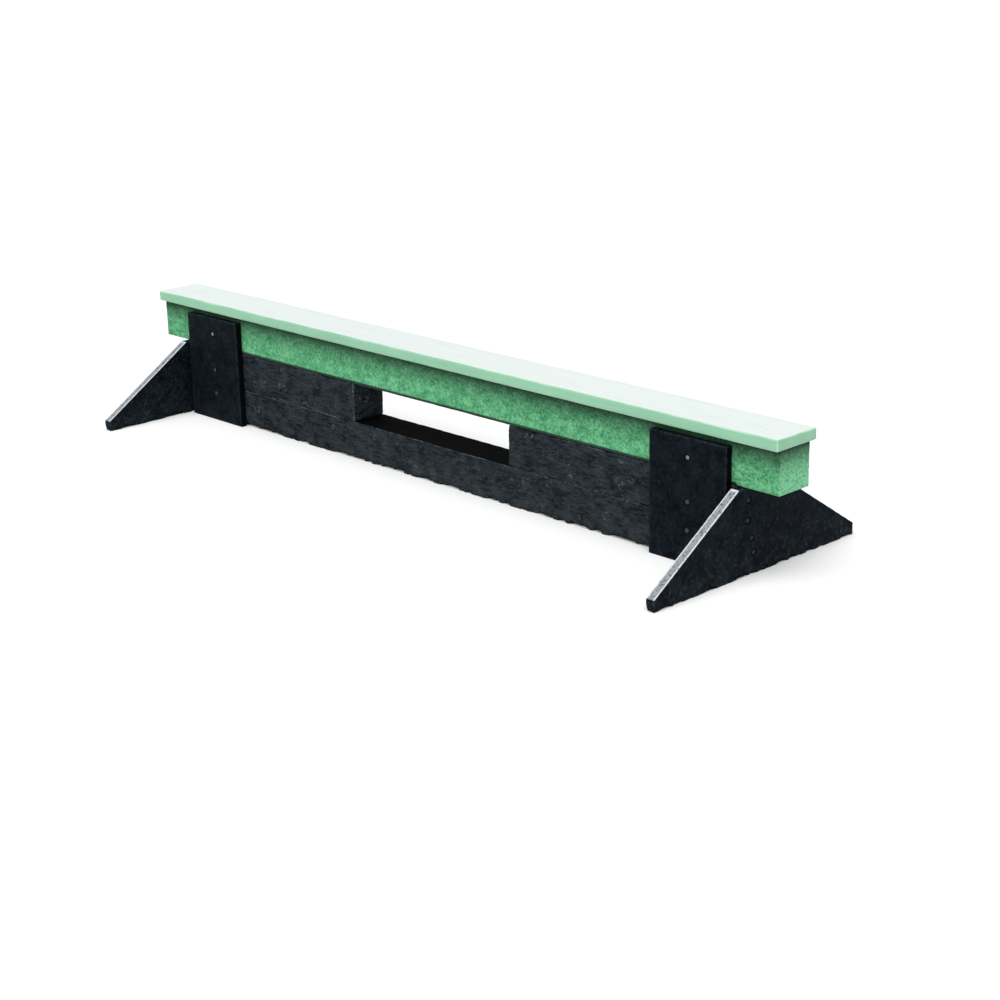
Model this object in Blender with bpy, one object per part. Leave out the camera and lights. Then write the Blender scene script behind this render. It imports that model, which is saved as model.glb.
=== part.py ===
"""Low walk-along balance beam in recycled plastic lumber.

A pale plank (the deck) lies on a green timber.  Two courses of black timber
carry it: a lower one that is whole and an upper one in two blocks, which
leaves a window through the middle.  Wide boards screwed to the front and the
back tie the courses together near each end, and a truncated triangle across
each end keeps the beam from tipping.  Threaded tie rods hold the stack
together from within.

Frame: metres, +Z up, +X along the beam, -Y is the front.  The origin is on
the ground under the middle of the beam.
"""

import math

import bmesh
import bpy
from mathutils import Matrix, Vector

INCH = 0.0254
SHARP_ANGLE = math.radians(35)   # edges sharper than this stay edges

# ---- driving dimensions ----------------------------------------------------
FIT_GAP = 0.0003                 # clearance between pieces that touch

TIMBER = 5.5 * INCH              # side of the square timbers
TIMBER_EASE = 0.10 * INCH        # rounding of their long edges

DECK_LENGTH = 120.0 * INCH
DECK_WIDTH = 7.25 * INCH
DECK_THICKNESS = 1.5 * INCH
DECK_EASE = 0.22 * INCH

BEAM_LENGTH = 119.5 * INCH
COURSE_LENGTH = 107.0 * INCH
WINDOW_LENGTH = 31.0 * INCH

PLATE_WIDTH = 12.0 * INCH
PLATE_THICKNESS = 1.0 * INCH
PLATE_OUTER_X = 52.75 * INCH     # the plates' outer edges, from the middle
PLATE_TOP_SLIT = 0.75 * INCH     # gap between a plate's top and the deck
BOARD_EASE = 0.07 * INCH

FOOT_THICKNESS = 1.25 * INCH
FOOT_HALF_BASE = 18.5 * INCH
FOOT_HALF_TOP = 3.8 * INCH
FOOT_TOE_HEIGHT = 1.5 * INCH

# ---- fasteners -------------------------------------------------------------
SIDES = 12                       # faces round each screw, rod and nut
# (head radius, head height, shank radius, length)
BOARD_SCREW = (0.0090, 0.0065, 0.0034, 3.5 * INCH)
FOOT_SCREW = (0.0090, 0.0065, 0.0034, 4.0 * INCH)
DECK_SCREW = (0.0052, 0.0040, 0.0024, 3.0 * INCH)
SCREW_SINK = 0.0015              # how far a head lies below its board
RIM_HEIGHT = 0.0004              # upright rim of a screw's head
STAR_SHARE = 0.45                # radius of the star socket over the head's
STAR_WAIST = 0.72                # inner over outer radius of the star
STAR_DEPTH_SHARE = 0.5           # socket depth over head height
POINT_SHARE = 1.8                # length of a screw's point over its shank radius

DECK_SCREW_PITCH = 22.4 * INCH
DECK_SCREW_X = [step * DECK_SCREW_PITCH for step in (-2.5, -1.5, -0.5, 0.5, 1.5, 2.5)]
DECK_SCREW_Y = 1.75 * INCH
PLATE_SCREW_X = PLATE_OUTER_X - PLATE_WIDTH / 2
PLATE_SCREW_Z = [4.2 * INCH, 7.8 * INCH, 13.3 * INCH]
# (y, z) on a foot panel: two screws into each course's end
FOOT_SCREW_YZ = [(-2.0 * INCH, 9.4 * INCH), (-2.1 * INCH, 6.9 * INCH),
                 (-1.3 * INCH, 4.6 * INCH), (-0.9 * INCH, 2.7 * INCH)]

ROD_X = {"inner": 20.0 * INCH, "outer": 37.0 * INCH}
ROD_RADIUS = 0.0050
ROD_HOLE_RADIUS = 0.0056
NUT_CORNER_RADIUS = 0.0092
NUT_HEIGHT = 0.0105
FLANGE_RADIUS = 0.0150
FLANGE_THICKNESS = 0.0022
POCKET_RADIUS = 0.0190
POCKET_DEPTH = 0.0260
ROD_STICKOUT = 0.0040            # thread showing past a nut

# ---- worked-out levels -----------------------------------------------------
UPPER_Z = TIMBER + FIT_GAP
BEAM_Z = 2 * (TIMBER + FIT_GAP)
DECK_Z = 3 * (TIMBER + FIT_GAP)
TOP_Z = DECK_Z + DECK_THICKNESS
PLATE_FACE_Y = TIMBER / 2 + FIT_GAP + PLATE_THICKNESS
FOOT_OUTER_X = COURSE_LENGTH / 2 + FIT_GAP + FOOT_THICKNESS
LOW_SEAT_Z = POCKET_DEPTH        # floors of the tie rods' two pockets
HIGH_SEAT_Z = BEAM_Z + TIMBER - POCKET_DEPTH

SIDES_OF_BEAM = (("left", -1), ("right", 1))
FACES_OF_BEAM = (("front", -1), ("back", 1))

# ---- finishes: base colour, roughness --------------------------------------
PALE_GREEN = ((0.56, 0.80, 0.60), 0.55)
MID_GREEN = ((0.12, 0.42, 0.20), 0.75)
BLACK_TIMBER = ((0.020, 0.024, 0.028), 0.80)
BLACK_BOARD = ((0.014, 0.018, 0.026), 0.55)
STEEL = ((0.45, 0.46, 0.47), 0.40)
DECK_STEEL = ((0.50, 0.70, 0.54), 0.50)


def clear_scene():
    """Remove every object that the file opens with."""
    for old in list(bpy.data.objects):
        bpy.data.objects.remove(old, do_unlink=True)


def material(name, finish, metallic=0.0):
    """One Principled material with a plain colour."""
    colour, roughness = finish
    made = bpy.data.materials.new(name)
    made.use_nodes = True
    shader = made.node_tree.nodes["Principled BSDF"]
    shader.inputs["Base Color"].default_value = (*colour, 1.0)
    shader.inputs["Roughness"].default_value = roughness
    shader.inputs["Metallic"].default_value = metallic
    return made


def add_object(name, shape, finish=None):
    """Put a bmesh into the scene as a named object."""
    bmesh.ops.recalc_face_normals(shape, faces=shape.faces)
    mesh = bpy.data.meshes.new(name)
    shape.to_mesh(mesh)
    shape.free()
    made = bpy.data.objects.new(name, mesh)
    bpy.context.scene.collection.objects.link(made)
    if finish is not None:
        mesh.materials.append(material(name, finish))
    return made


def add_cutter(name, shape):
    """Put a bmesh into the scene as a hidden cutting body."""
    made = add_object(name, shape)
    made.hide_render = True
    made.display_type = "WIRE"
    return made


def ease_edges(piece, width, segments):
    """Round the edges of a sawn piece."""
    rounding = piece.modifiers.new("ease", "BEVEL")
    rounding.width = width
    rounding.segments = segments
    rounding.limit_method = "ANGLE"
    rounding.angle_limit = SHARP_ANGLE


def cut(piece, *cutters):
    """Take each cutter out of the piece."""
    for cutter in cutters:
        drill = piece.modifiers.new(cutter.name, "BOOLEAN")
        drill.operation = "DIFFERENCE"
        drill.solver = "EXACT"
        drill.object = cutter


def box_shape(low, high):
    """A box between two corners."""
    shape = bmesh.new()
    size = Vector(high) - Vector(low)
    centre = (Vector(high) + Vector(low)) / 2
    place = Matrix.Translation(centre) @ Matrix.Diagonal((*size, 1.0))
    bmesh.ops.create_cube(shape, size=1.0, matrix=place)
    return shape


def timber(name, x_from, x_to, z_from, finish):
    """A square timber lying along X, centred on Y."""
    half = TIMBER / 2
    shape = box_shape((x_from, -half, z_from), (x_to, half, z_from + TIMBER))
    made = add_object(name, shape, finish)
    ease_edges(made, TIMBER_EASE, 2)
    return made


def ring(shape, radius, height, waist=1.0):
    """A ring of points round Z, or one point when the radius is zero.

    Every other point lies at waist times the radius, which makes a star,
    or a hexagon when waist is the cosine of 30 degrees.
    """
    if radius == 0.0:
        return [shape.verts.new((0.0, 0.0, height))]
    made = []
    for i in range(SIDES):
        turn = 2 * math.pi * i / SIDES
        out = radius * (waist if i % 2 else 1.0)
        made.append(shape.verts.new((out * math.cos(turn), out * math.sin(turn), height)))
    return made


def join_rings(shape, lower, upper):
    """Faces between two rings, or between a ring and a point."""
    for i in range(SIDES):
        j = (i + 1) % SIDES
        if len(lower) == 1:
            shape.faces.new((lower[0], upper[j], upper[i]))
        elif len(upper) == 1:
            shape.faces.new((lower[i], lower[j], upper[0]))
        else:
            shape.faces.new((lower[i], lower[j], upper[j], upper[i]))


def turned(shape, profile, place=Matrix()):
    """Turn a profile of (radius, height) or (radius, height, waist) about Z.

    A profile that starts and ends on the axis makes a solid; one that stays
    off it is closed into a tube.
    """
    rings = [ring(shape, *point) for point in profile]
    if len(rings[0]) > 1:
        rings.append(rings[0])
    for lower, upper in zip(rings, rings[1:]):
        join_rings(shape, lower, upper)
    made = list({vert for one in rings for vert in one})
    bmesh.ops.transform(shape, matrix=place, verts=made)


def facing(x, y, z, direction):
    """A place at x, y, z whose +Z points along the direction."""
    turn = Vector((0, 0, 1)).rotation_difference(Vector(direction)).to_matrix()
    return Matrix.Translation((x, y, z)) @ turn.to_4x4()


def turned_mesh(name, profile, finish):
    """A turned mesh at the origin, for copies to share."""
    first = bmesh.new()
    turned(first, profile)
    bmesh.ops.recalc_face_normals(first, faces=first.faces)
    mesh = bpy.data.meshes.new(name)
    first.to_mesh(mesh)
    first.free()
    mesh.shade_smooth()
    mesh.set_sharp_from_angle(angle=SHARP_ANGLE)
    mesh.materials.append(material(name, finish, 1.0))
    return mesh


def place_copy(name, mesh, place):
    """One object that shares the mesh."""
    made = bpy.data.objects.new(name, mesh)
    made.matrix_world = place
    bpy.context.scene.collection.objects.link(made)


def shank_profile(screw, grow):
    """Half section of a screw from its point up to under its head."""
    _, head_height, shank, length = screw
    point = POINT_SHARE * shank
    return [(0.0, -length - grow), (shank + grow, point - length),
            (shank + grow, -head_height)]


def screw_profile(screw):
    """Half section of a countersunk screw with a star socket, top at height 0."""
    head = screw[0]
    star = STAR_SHARE * head
    depth = STAR_DEPTH_SHARE * screw[1]
    top = [(head, -RIM_HEIGHT), (head, 0.0), (star, 0.0, STAR_WAIST)]
    socket = [(star, -depth, STAR_WAIST), (0.0, -depth)]
    return shank_profile(screw, 0.0) + top + socket


def hole_profile(screw):
    """Half section of a screw's clearance hole, carried past the board's face."""
    rim = screw[0] + FIT_GAP
    above = 2 * SCREW_SINK
    return shank_profile(screw, FIT_GAP) + [(rim, -RIM_HEIGHT), (rim, above), (0.0, above)]


def screws_with_holes(name, screw, places, finish):
    """Numbered screws at the places, and a cutter for all their holes."""
    mesh = turned_mesh(name, screw_profile(screw), finish)
    holes = bmesh.new()
    for number, place in enumerate(places, start=1):
        place_copy(f"{name}_{number}", mesh, place)
        turned(holes, hole_profile(screw), place)
    return add_cutter(name + "_holes", holes)


def deck_screws():
    """Two rows of screws through the deck into the beam."""
    places = [facing(x, y, TOP_Z - SCREW_SINK, (0, 0, 1))
              for x in DECK_SCREW_X for y in (-DECK_SCREW_Y, DECK_SCREW_Y)]
    return screws_with_holes("deck_screw", DECK_SCREW, places, DECK_STEEL)


def plate_screws(face, facing_y, side, side_x):
    """One screw into each timber through a tie plate, the lowest first."""
    head_y = facing_y * (PLATE_FACE_Y - SCREW_SINK)
    places = [facing(side_x * PLATE_SCREW_X, head_y, z, (0, facing_y, 0))
              for z in PLATE_SCREW_Z]
    return screws_with_holes(f"{face}_plate_screw_{side}", BOARD_SCREW, places, STEEL)


def foot_screws(side, side_x):
    """Screws through a foot panel into the courses' ends, the highest first."""
    head_x = side_x * (FOOT_OUTER_X - SCREW_SINK)
    places = [facing(head_x, y, z, (side_x, 0, 0)) for y, z in FOOT_SCREW_YZ]
    return screws_with_holes(f"foot_screw_{side}", FOOT_SCREW, places, STEEL)


def tie_plate(face, facing_y, side, side_x, holes):
    """A wide board screwed flat against the stack."""
    outer = side_x * PLATE_OUTER_X
    inner = side_x * (PLATE_OUTER_X - PLATE_WIDTH)
    near = facing_y * (TIMBER / 2 + FIT_GAP)
    far = facing_y * PLATE_FACE_Y
    low = (min(inner, outer), min(near, far), 0.0)
    high = (max(inner, outer), max(near, far), DECK_Z - PLATE_TOP_SLIT)
    made = add_object(f"{face}_plate_{side}", box_shape(low, high), BLACK_BOARD)
    ease_edges(made, BOARD_EASE, 1)
    cut(made, holes)


def foot_panel(side, side_x, holes):
    """A truncated triangle with short upright toes, set across the end."""
    top = BEAM_Z - FIT_GAP
    half = [(FOOT_HALF_BASE, 0.0), (FOOT_HALF_BASE, FOOT_TOE_HEIGHT), (FOOT_HALF_TOP, top)]
    outline = half + [(-y, z) for y, z in reversed(half)]
    inner = side_x * (COURSE_LENGTH / 2 + FIT_GAP)
    shape = bmesh.new()
    corners = [shape.verts.new((inner, y, z)) for y, z in outline]
    face = shape.faces.new(corners)
    grown = bmesh.ops.extrude_face_region(shape, geom=[face])
    moved = [item for item in grown["geom"] if isinstance(item, bmesh.types.BMVert)]
    bmesh.ops.translate(shape, verts=moved, vec=(side_x * FOOT_THICKNESS, 0, 0))
    made = add_object(f"foot_panel_{side}", shape, BLACK_BOARD)
    ease_edges(made, BOARD_EASE, 1)
    cut(made, holes)


def tie_rods():
    """Four threaded rods through the stack, with a flange nut at each end."""
    low = LOW_SEAT_Z - FIT_GAP
    high = HIGH_SEAT_Z + FIT_GAP
    reach = NUT_HEIGHT + ROD_STICKOUT
    rod = turned_mesh("tie_rod", [(0.0, low - reach), (ROD_RADIUS, low - reach),
                                  (ROD_RADIUS, high + reach), (0.0, high + reach)], STEEL)
    bore = ROD_RADIUS + FIT_GAP
    hexagon = math.cos(math.radians(30))
    nut = turned_mesh("tie_rod_nut", [
        (bore, 0.0), (FLANGE_RADIUS, 0.0), (FLANGE_RADIUS, FLANGE_THICKNESS),
        (NUT_CORNER_RADIUS, FLANGE_THICKNESS, hexagon),
        (NUT_CORNER_RADIUS, NUT_HEIGHT, hexagon), (bore, NUT_HEIGHT)], STEEL)
    for side, side_x in SIDES_OF_BEAM:
        for where, x in ROD_X.items():
            label = f"{where}_{side}"
            place_copy(f"tie_rod_{label}", rod, facing(side_x * x, 0, 0, (0, 0, 1)))
            place_copy(f"top_nut_{label}", nut, facing(side_x * x, 0, high, (0, 0, 1)))
            place_copy(f"bottom_nut_{label}", nut, facing(side_x * x, 0, low, (0, 0, -1)))


def tie_rod_holes():
    """Holes for all the rods, with a pocket for the nut at each end."""
    bottom = LOW_SEAT_Z - 2 * POCKET_DEPTH
    top = HIGH_SEAT_Z + 2 * POCKET_DEPTH
    profile = [(0.0, bottom), (POCKET_RADIUS, bottom), (POCKET_RADIUS, LOW_SEAT_Z),
               (ROD_HOLE_RADIUS, LOW_SEAT_Z), (ROD_HOLE_RADIUS, HIGH_SEAT_Z),
               (POCKET_RADIUS, HIGH_SEAT_Z), (POCKET_RADIUS, top), (0.0, top)]
    shape = bmesh.new()
    for _, side_x in SIDES_OF_BEAM:
        for x in ROD_X.values():
            turned(shape, profile, Matrix.Translation((side_x * x, 0, 0)))
    return add_cutter("tie_rod_holes", shape)


def deck_plank(holes):
    """The plank that is walked on."""
    half_x = DECK_LENGTH / 2
    half_y = DECK_WIDTH / 2
    shape = box_shape((-half_x, -half_y, DECK_Z), (half_x, half_y, TOP_Z))
    made = add_object("deck_plank", shape, PALE_GREEN)
    ease_edges(made, DECK_EASE, 3)
    cut(made, holes)


def main():
    """Build every piece of the balance beam."""
    clear_scene()
    rod_holes = tie_rod_holes()
    tie_rods()
    deck_holes = deck_screws()
    deck_plank(deck_holes)
    beam = timber("top_beam", -BEAM_LENGTH / 2, BEAM_LENGTH / 2, BEAM_Z, MID_GREEN)
    half = COURSE_LENGTH / 2
    inner = WINDOW_LENGTH / 2
    lower = timber("lower_course", -half, half, 0.0, BLACK_TIMBER)
    cut(beam, deck_holes, rod_holes)
    cut(lower, rod_holes)
    for side, side_x in SIDES_OF_BEAM:
        ends = sorted((side_x * inner, side_x * half))
        block = timber(f"upper_course_{side}", ends[0], ends[1], UPPER_Z, BLACK_TIMBER)
        cut(block, rod_holes)
        for face, facing_y in FACES_OF_BEAM:
            holes = plate_screws(face, facing_y, side, side_x)
            tie_plate(face, facing_y, side, side_x, holes)
            for piece in (beam, block, lower):
                cut(piece, holes)
        holes = foot_screws(side, side_x)
        foot_panel(side, side_x, holes)
        for piece in (block, lower):
            cut(piece, holes)


main()
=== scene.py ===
"""Looks of a low walk-along beam in recycled plastic lumber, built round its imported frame.

Every plank, timber, board and screw is a closed skin worked out as whole arrays: a section
carried along a line, or a profile turned about an axis.  Relief is only ever cut into a skin, so
no piece grows past the frame.  Finishes are procedural and read the piece's own place and a few
measures stored on its skin.

Frame: metres, +Z up, +X along the beam, -Y is the front.
"""

import logging
import math
from dataclasses import dataclass, field, replace
from enum import Enum
from functools import cache
from itertools import product

import bpy
import numpy as np
from mathutils import Matrix, Vector


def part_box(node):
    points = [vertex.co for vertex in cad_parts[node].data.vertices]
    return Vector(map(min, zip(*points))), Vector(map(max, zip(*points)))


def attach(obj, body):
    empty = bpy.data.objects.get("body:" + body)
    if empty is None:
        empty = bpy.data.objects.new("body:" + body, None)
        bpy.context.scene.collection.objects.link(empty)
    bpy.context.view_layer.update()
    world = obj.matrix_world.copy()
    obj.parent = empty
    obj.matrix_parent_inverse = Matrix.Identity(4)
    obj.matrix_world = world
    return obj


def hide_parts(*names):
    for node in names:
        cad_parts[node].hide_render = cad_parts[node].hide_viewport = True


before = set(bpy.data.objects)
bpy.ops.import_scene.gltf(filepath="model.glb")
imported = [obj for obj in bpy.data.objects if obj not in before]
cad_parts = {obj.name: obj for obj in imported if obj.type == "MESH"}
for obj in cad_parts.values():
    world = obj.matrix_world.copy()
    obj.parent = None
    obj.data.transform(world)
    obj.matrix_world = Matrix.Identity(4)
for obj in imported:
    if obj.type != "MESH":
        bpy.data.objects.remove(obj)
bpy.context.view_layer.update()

LOG = logging.getLogger("beam")

Array = np.ndarray
Colour = tuple[float, float, float]
Size = tuple[float, float, float]

MM = 0.001
WELD = 1e-6                  # points closer than this are one point
TINY = 1e-12                 # shortest normal that is divided by
LATTICE = 64                 # cells before a random field repeats
EASE_STEPS = 4               # rows of points round an eased arris
PROBES = 4001                # trial places when lines are spread along a piece
WEAR_HEIGHT = 24 * MM        # how far up from the ground its wear reaches
WEAR_SIZE = (0.030, 0.028, 0.05)    # size of the wear's ragged stretches
FACING = 0.8                 # least share of a head's direction in the normal of its face
MIX_COLOURS = (6, 7)         # a Mix node's inputs for its two colours
MIX_RESULT = 2               # and its output for the mixed colour


def held(values: Array) -> Array:
    """Values held between 0 and 1."""
    return np.clip(values, 0, 1)


def numbered(stem: str, count: int) -> tuple[str, ...]:
    """The names stem_1 to stem_count."""
    return tuple(f"{stem}_{i}" for i in range(1, count + 1))


def shaded(colour: Colour, times: float) -> Colour:
    """A colour made darker or lighter."""
    return tuple(times * part for part in colour)


def put(name: str, data: bpy.types.ID) -> bpy.types.Object:
    """A new object in the scene.

    Args:
        name: its name.
        data: its mesh, light or camera.

    Returns:
        The object, at the origin.
    """
    made = bpy.data.objects.new(name, data)
    bpy.context.scene.collection.objects.link(made)
    return made


# ---- Random fields --------------------------------------------------------------------------

@dataclass(frozen=True)
class Field:
    """A smooth random field in space, from 0 to 1.

    Random numbers sit on a lattice.  A point takes the blend of the eight round it, with each
    share t eased to 3t^2 - 2t^3.

    Attributes:
        seed: which set of random numbers.
        size: spacing of the lattice along X, Y and Z.
    """

    seed: int
    size: Size

    def at(self, points: Array) -> Array:
        """The field at some points.

        Args:
            points: their places.

        Returns:
            A value from 0 to 1 for each point.
        """
        table = np.random.default_rng(self.seed).random((LATTICE,) * 3)
        scaled = points / np.array(self.size)
        cell = np.floor(scaled).astype(int)
        share = scaled - cell
        share = share * share * (3 - 2 * share)
        total = np.zeros(len(points))
        for corner in np.ndindex(2, 2, 2):
            near = (cell + corner) % LATTICE
            weight = np.prod(np.where(corner, share, 1 - share), axis=1)
            total += weight * table[near[:, 0], near[:, 1], near[:, 2]]
        return total

    def rough(self, points: Array, octaves: int) -> Array:
        """Layers of the field, each half the size and strength of the one before.

        Args:
            points: where to read them.
            octaves: how many layers.

        Returns:
            A value from 0 to 1 for each point.
        """
        layers = [Field(self.seed + i, tuple(s / 2**i for s in self.size))
                  for i in range(octaves)]
        shares = [0.5**i for i in range(octaves)]
        return sum(s * one.at(points) for s, one in zip(shares, layers)) / sum(shares)

    def over(self, floor: float, points: Array, octaves: int) -> Array:
        """How far the layered field rises over a floor, nothing below it."""
        return held(self.rough(points, octaves) - floor)


@dataclass(frozen=True)
class Dents:
    """Round dents scattered through space, at most one in each cell of a lattice.

    A dent is deepest in its middle and fades as (1 - (r/R)^2)^2 with the distance r.

    Attributes:
        seed: which set of random places.
        cell: side of a cell.
        radius: radius of the widest dent.
        share: share of the cells that hold one.
        smallest: radius of the smallest dent over the widest's.
    """

    seed: int
    cell: float
    radius: float
    share: float
    smallest: float = 0.45

    def at(self, points: Array) -> Array:
        """How deep some points lie in the dents.

        Args:
            points: their places.

        Returns:
            0 outside every dent to 1 in the middle of one, for each point.
        """
        rng = np.random.default_rng(self.seed)
        middles = rng.random((LATTICE, LATTICE, LATTICE, 3))
        sizes = rng.random((LATTICE,) * 3)
        scaled = points / self.cell
        cell = np.floor(scaled).astype(int)
        deepest = np.zeros(len(points))
        for step in np.ndindex(3, 3, 3):
            near = cell + step - 1
            key = tuple((near % LATTICE).T)
            gap = np.linalg.norm(scaled - near - middles[key], axis=1) * self.cell
            size = sizes[key]
            reach = self.radius * (self.smallest + (1 - self.smallest) * size / self.share)
            bowl = held(1 - (gap / reach) ** 2) ** 2
            deepest = np.maximum(deepest, np.where(size < self.share, bowl, 0))
        return deepest


def spread(low: float, high: float, pitch: float, marks: Array, reach: float,
           fine: float) -> Array:
    """Rising positions that crowd together near marks.

    The lines' density is 1/pitch, or 1/fine within reach of a mark.  Its running total is read
    back at whole, evenly spaced values.

    Args:
        low: first position.
        high: last position.
        pitch: spacing away from the marks.
        marks: positions that need finer spacing.
        reach: how far each mark's fine spacing goes.
        fine: spacing near a mark.

    Returns:
        The positions, low and high included.
    """
    probe = np.linspace(low, high, PROBES)
    density = np.full(len(probe), 1 / pitch)
    if len(marks):
        gap = np.abs(probe[:, None] - np.asarray(marks)[None, :]).min(axis=1)
        density = np.where(gap < reach, 1 / fine, density)
    steps = (density[1:] + density[:-1]) / 2 * np.diff(probe)
    total = np.concatenate([[0.0], np.cumsum(steps)])
    count = max(2, math.ceil(total[-1]))
    return np.interp(np.linspace(0, total[-1], count + 1), total, probe)


# ---- Closed skins ---------------------------------------------------------------------------

@dataclass
class Skin:
    """A closed skin of four-sided and three-sided faces, with measures stored on its points."""

    points: Array
    quads: Array
    tris: Array
    measures: dict[str, Array] = field(default_factory=dict)

    @classmethod
    def from_grid(cls, grid: Array) -> "Skin":
        """Close a grid of rows that each run once round the piece.

        Points that fall together, as on a pole or along the closed-up middle of an end, become
        one, and faces that lose a corner to that become three-sided or go.

        Args:
            grid: rows x columns x 3 points; the last column joins the first.

        Returns:
            The skin, with its faces pointing outwards.
        """
        rows, columns, _ = grid.shape
        number = np.arange(rows * columns).reshape(rows, columns)
        after = np.roll(number, -1, axis=1)
        corners = np.stack([number[:-1], after[:-1], after[1:], number[1:]], axis=-1)
        flat = grid.reshape(-1, 3)
        _, first, same = np.unique(np.round(flat / WELD).astype(np.int64), axis=0,
                                   return_index=True, return_inverse=True)
        corners = same.reshape(-1)[corners.reshape(-1, 4)]
        doubled = corners == np.roll(corners, -1, axis=1)
        lost = doubled.sum(axis=1)
        three = lost == 1
        tris = corners[three][~doubled[three]].reshape(-1, 3)
        skin = cls(flat[first], corners[lost == 0], tris)
        if skin.volume() < 0:
            skin.quads = skin.quads[:, ::-1]
            skin.tris = skin.tris[:, ::-1]
        return skin

    def volume(self) -> float:
        """Volume inside: a sixth of the sum of corner . (corner x corner) over its triangles.

        Returns:
            The volume, negative if the faces point inwards.
        """
        fans = [self.tris, self.quads[:, [0, 1, 2]], self.quads[:, [0, 2, 3]]]
        a, b, c = (self.points[np.concatenate(fans)][:, i] for i in range(3))
        return float(np.einsum("ij,ij->i", a, np.cross(b, c)).sum() / 6)

    def normals(self) -> Array:
        """Unit normal at each point, from the cross products of its faces' diagonals.

        Returns:
            One normal for each point.
        """
        total = np.zeros_like(self.points)
        for faces in (self.quads, self.tris):
            corners = self.points[faces]
            across = np.cross(corners[:, 2] - corners[:, 0], corners[:, -1] - corners[:, 1])
            np.add.at(total, faces.ravel(), np.repeat(across, faces.shape[1], axis=0))
        return total / np.maximum(np.linalg.norm(total, axis=1, keepdims=True), TINY)

    def carve(self, depth: Array) -> None:
        """Sink each point along its normal by its depth."""
        self.points = self.points - self.normals() * np.maximum(depth, 0)[:, None]

    def to_object(self, name: str) -> bpy.types.Object:
        """Make the skin a mesh, shaded smooth, with its measures as attributes.

        Args:
            name: the piece's name.

        Returns:
            The piece, at the origin.
        """
        mesh = bpy.data.meshes.new(name)
        mesh.from_pydata(self.points.tolist(), [], self.quads.tolist() + self.tris.tolist())
        mesh.shade_smooth()
        for label, values in self.measures.items():
            stored = mesh.attributes.new(label, "FLOAT", "POINT")
            stored.data.foreach_set("value", values.astype(np.float32))
        return put(name, mesh)


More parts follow.
